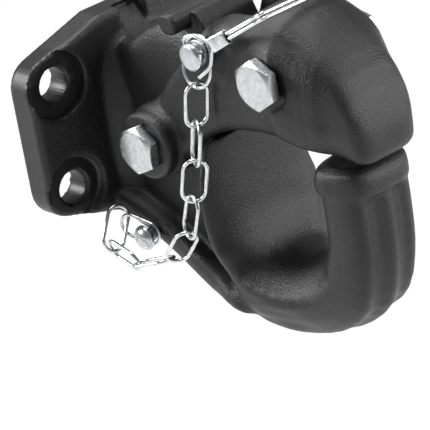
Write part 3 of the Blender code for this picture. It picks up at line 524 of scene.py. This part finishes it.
pinProfile = [(-34.0, 0), (-34.0, 4.2), (-33.75, 4.85), (-33.3, 5.35), (-32.8, 5.5), (-25.7, 5.5), (-25.3, 5.3), (-25.2, 4.8),
              (-25.2, 4.0), (27.0, 4.0), (28.6, 3.3), (29.6, 2.5), (29.9, 1.8), (29.9, 0)]
pinShape = turned("lockPinShape", [(a * mm, r * mm) for a, r in pinProfile], pinAt, (0, 1, 0), 72)
finished(pinShape, boltZinc, "lock_pin", "lock_pin")


def bailPath():
    run = (bailBend - pinHole) / np.linalg.norm(bailBend - pinHole)
    side, spread, turn = pinSide, 0.98 * mm, 7.1 * mm
    start, stop = pinHole + run * 12 * mm, pinHole + run * 20 * mm
    upper = [pinHole, pinHole - side * 3.3 * mm, pinHole - side * turn + run * mm,
             pinHole - side * (turn - 0.6 * mm) + run * 6 * mm, start - side * spread, stop - side * spread]
    bendIn, bendOut = bailBend - run * 5 * mm, bailBend + np.array([0, 6, 0]) * mm
    strand = lambda s: [bendIn + side * s, bailBend + side * s, bendOut + side * s]
    tip = [bailEnd - side * spread, bailEnd + np.array([0, spread, 0]), bailEnd + side * spread]
    lower = [stop + side * spread, start + side * spread, pinHole + side * (turn - 0.6 * mm) + run * 6 * mm,
             pinHole + side * (turn + mm) - run * 1.5 * mm]
    path = [spline(upper, 60), spline(strand(-spread), 30), spline(tip, 24), spline(strand(spread), 30)[::-1], spline(lower, 40)]
    return np.concatenate(path), start, stop, run


bail, sleeveFrom, sleeveTo, sleeveRun = bailPath()
wireShape = finished(wire("pinWireShape", bail, drawnR, sides=16), wireZinc, "pin_wire", "pin_wire")


def ferruleShape():
    # A flat sleeve round both strands, pinched once in the middle
    normal = np.cross(sleeveRun, pinSide)
    t = np.linspace(0, tau, 48, endpoint=False)
    c, s = np.cos(t), np.sin(t)
    a, b = np.sign(c) * np.abs(c) ** 0.5, np.sign(s) * np.abs(s) ** 0.5
    rows = []
    for u, grow in ((0, 0.97), (0.02, 1.0), (0.3, 1.0), (0.42, 0.92), (0.58, 0.92), (0.7, 1.0), (0.98, 1.0), (1, 0.97)):
        middle = sleeveFrom + (sleeveTo - sleeveFrom) * u
        rows.append(middle + pinSide * (2.9 * mm) * (1 + 0.08 * (1 - u)) * a[:, None] + normal * 1.6 * mm * grow * b[:, None])
    for u in (1, 0):
        middle = sleeveFrom + (sleeveTo - sleeveFrom) * u
        rows.append(middle + pinSide * 2.4 * mm * a[:, None] + normal * 1.1 * mm * b[:, None])
    rows = np.array(rows)
    return newMesh("ferruleShape", rows.reshape(-1, 3), gridFaces(len(rows), 48, closeRows=True), sharp=30)


finished(ferruleShape(), wireZinc, "pin_wire", "wire_ferrule")


def unit(v):
    v = np.asarray(v, float)
    return v / np.linalg.norm(v)


def linkShape(name, centre, along, face, length, width, body, node):
    # A welded link: round wire bent to a stadium, a little thicker at the weld in one side
    face = unit(face - along * np.dot(face, along))
    across = np.cross(along, face)
    bend = width / 2 - wireR
    half = length / 2 - wireR - bend
    t = np.linspace(0, math.pi, 25)
    top = [centre + across * bend * math.cos(a) + along * (half + bend * math.sin(a)) for a in t]
    low = [centre - across * bend * math.cos(a) - along * (half + bend * math.sin(a)) for a in t]
    left = [top[-1] + (low[0] - top[-1]) * s for s in np.linspace(0, 1, 14)[1:-1]]
    right = [low[-1] + (top[0] - low[-1]) * s for s in np.linspace(0, 1, 14)[1:-1]]
    path = np.array(top + left + low + right)
    weld = path[len(top) + 6]
    radius = drawnR * (1 + 0.08 * np.exp(-(np.linalg.norm(path - weld, axis=1) / (0.6 * mm)) ** 2))
    finished(wire(name, path, radius, closed=True, sides=16), wireZinc, body, node)


linkLength, linkWidth, hook = 20.2 * mm, 10.8 * mm, 2 * wireR + 0.3 * mm
runSteps = [((-0.19, -0.03, -1), (1, -0.30, 0)), ((-0.22, -0.05, -1), (0.50, 1, 0)), ((-0.25, -0.05, -1), (1, -0.75, 0)),
            ((-0.34, -0.05, -1), (0.30, 1, 0)), ((-0.78, -0.06, -1), (1, -0.45, 0))]
tailSteps = [((0.90, -0.04, -0.21), (0.23, 1, 0.29)), ((0.88, 0.23, 0.24), (-0.25, 0.11, 1))]
heldLinks = [((-4.9, -3.4, 1.5), (-0.936, -0.216, 0.280), (-0.237, 0.970, -0.046)),
             ((-12.4, -9.8, 3.0), (0.108, -0.520, -0.847), (-0.947, 0.205, -0.246))]


def chainShapes():
    # The ring, the links below it and the links at the chain bolt, each where the CAD has it
    ringTop = np.array([pinAt.x, -(25.2 + 0.3) * mm - 2 * wireR, pinAt.z + 5.5 * mm + 0.3 * mm + wireR])
    down = unit((-0.06, -0.21, -1))
    linkShape("ringShape", ringTop + down * (21.5 / 2 * mm - wireR), down, np.array([0, 1, 0]), 21.5 * mm, 16.2 * mm,
              "chain_run", "chain_ring")
    runEnd = ringTop + down * (21.5 * mm - 2 * wireR)
    root = np.array([chainBoltAt.x, -22.5 * mm, chainBoltAt.z])
    for number, (offset, way, face) in zip((9, 8), heldLinks):
        way = unit(way)
        centre = root + np.array(offset) * mm
        tailEnd, tailWay = centre + way * (linkLength / 2 - wireR), way
        linkShape("link%dShape" % number, centre, way, np.array(face), linkLength, linkWidth, "root", "chain_link_%d" % number)
    for end, before, steps, numbers, body in ((runEnd, down, runSteps, (1, 2, 3, 4, 5), "chain_run"),
                                              (tailEnd, tailWay, tailSteps, (7, 6), "root")):
        for (step, face), number in zip(steps, numbers):
            along = unit(step)
            near = end - unit(along + before) * hook * (1.6 - 0.6 * along.dot(before))
            before = along
            linkShape("link%dShape" % number, near + along * (linkLength / 2 - wireR), along, np.array(face), linkLength,
                      linkWidth, body, "chain_link_%d" % number)
            end = near + along * (linkLength - 2 * wireR)


chainShapes()
domeY = -(22.5 + 0.3 + 2.1 + 3.2)
dome = [(domeY - 3.4 * math.cos(a), 5.3 * math.sin(a)) for a in np.linspace(0.02, math.pi / 2, 14)]
stud = [(domeY - 3.4, 0)] + dome + [(domeY + 0.15, 5.25), (domeY + 0.15, 2.8), (-11.0, 2.8), (-11.0, 0)]
chainBolt = turned("chainBoltShape", [(a * mm, r * mm) for a, r in stud], chainBoltAt, (0, 1, 0), 56)
finished(chainBolt, boltZinc, "root", "chain_bolt")


def springPath():
    # The same coil as the CAD's, with finer steps
    radius, start, turns = 6.5 * mm, -14.5 * mm, 2.5
    t = np.linspace(0, 1, 90)
    a = math.pi / 2 + tau * turns * t
    coil = np.stack([lockPivot.x + radius * np.cos(a), start + 1.7 * mm * turns * t, lockPivot.z + radius * np.sin(a)], 1)
    first = coil[0] + np.array([8.55 * mm, 0, 0])
    last = coil[-1] + np.array([-13 * mm, 0, mm])
    lead = np.linspace(first, coil[0], 8)[:-1]
    trail = np.linspace(coil[-1], last, 10)[1:]
    return np.concatenate([lead, coil, trail])


finished(wire("lockSpringShape", springPath(), 0.7 * mm, sides=14), springSteel, "latch", "lock_spring")
print("wire and chain")


def floorPlane():
    paint, tree, shader, at = blank("paleFloor")
    shader.inputs["Base Color"].default_value = linear("f4f4f4")
    shader.inputs["Roughness"].default_value = 0.9
    seen = add(tree, "LightPath").outputs
    white = add(tree, "Emission", Color=(1, 1, 1, 1), Strength=1.0)
    share = add(tree, "Math", {"operation": "MAXIMUM"}, i0=seen["Is Camera Ray"], i1=seen["Is Glossy Ray"]).outputs[0]
    share = add(tree, "Math", {"operation": "MULTIPLY"}, i0=share, i1=0.80).outputs[0]
    mixed = add(tree, "MixShader", i0=share, i1=shader.outputs[0], i2=white.outputs[0])
    tree.links.new(mixed.outputs[0], tree.nodes["Material Output"].inputs["Surface"])
    s, z = 6.0, -0.30
    obj = newMesh("floor", [(-s, -s, z), (s, -s, z), (s, s, z), (-s, s, z)], [(0, 1, 2, 3)], smooth=False)
    obj.data.materials.append(paint)


def softbox(name, at, look, size, power, sizeY=None):
    data = bpy.data.lights.new(name, "AREA")
    data.shape = "RECTANGLE"
    data.size = size
    data.size_y = sizeY or size
    data.energy = power
    obj = bpy.data.objects.new(name, data)
    obj.location = at
    obj.rotation_euler = (Vector(look) - Vector(at)).to_track_quat("-Z", "Y").to_euler()
    scene.collection.objects.link(obj)


floorPlane()
world = bpy.data.worlds.new("studio")
scene.world = world
world.use_nodes = True
world.node_tree.nodes["Background"].inputs["Color"].default_value = linear("ffffff")
skyStrength = add(world.node_tree, "MapRange", Value=add(world.node_tree, "LightPath").outputs["Is Camera Ray"],
                  To_Min=0.22, To_Max=1.0).outputs["Result"]
world.node_tree.links.new(skyStrength, world.node_tree.nodes["Background"].inputs["Strength"])
middle = (0.07, 0.0, 0.0)
softbox("top", (-0.2, 0.1, 1.30), middle, 0.90, 24.0)
softbox("right", (0.95, 0.75, 0.35), middle, 0.60, 12.0)
softbox("left", (-0.80, -0.85, 0.60), middle, 0.60, 22.0)

eye = bpy.data.cameras.new("photoView")
eye.sensor_width = 36.0
eye.lens = 206.6
camera = bpy.data.objects.new("photoView", eye)
across, upward, back = Vector((0.6791, 0.7180, -0.1523)), Vector((-0.2044, 0.3843, 0.9003)), Vector((0.7050, -0.5803, 0.4077))
camera.matrix_world = Matrix.Translation((0.7471, -0.5790, 0.3613)) @ Matrix((across, upward, back)).transposed().to_4x4()
scene.collection.objects.link(camera)
scene.camera = camera
scene.render.resolution_x = scene.render.resolution_y = 430
scene.view_settings.view_transform = "Standard"
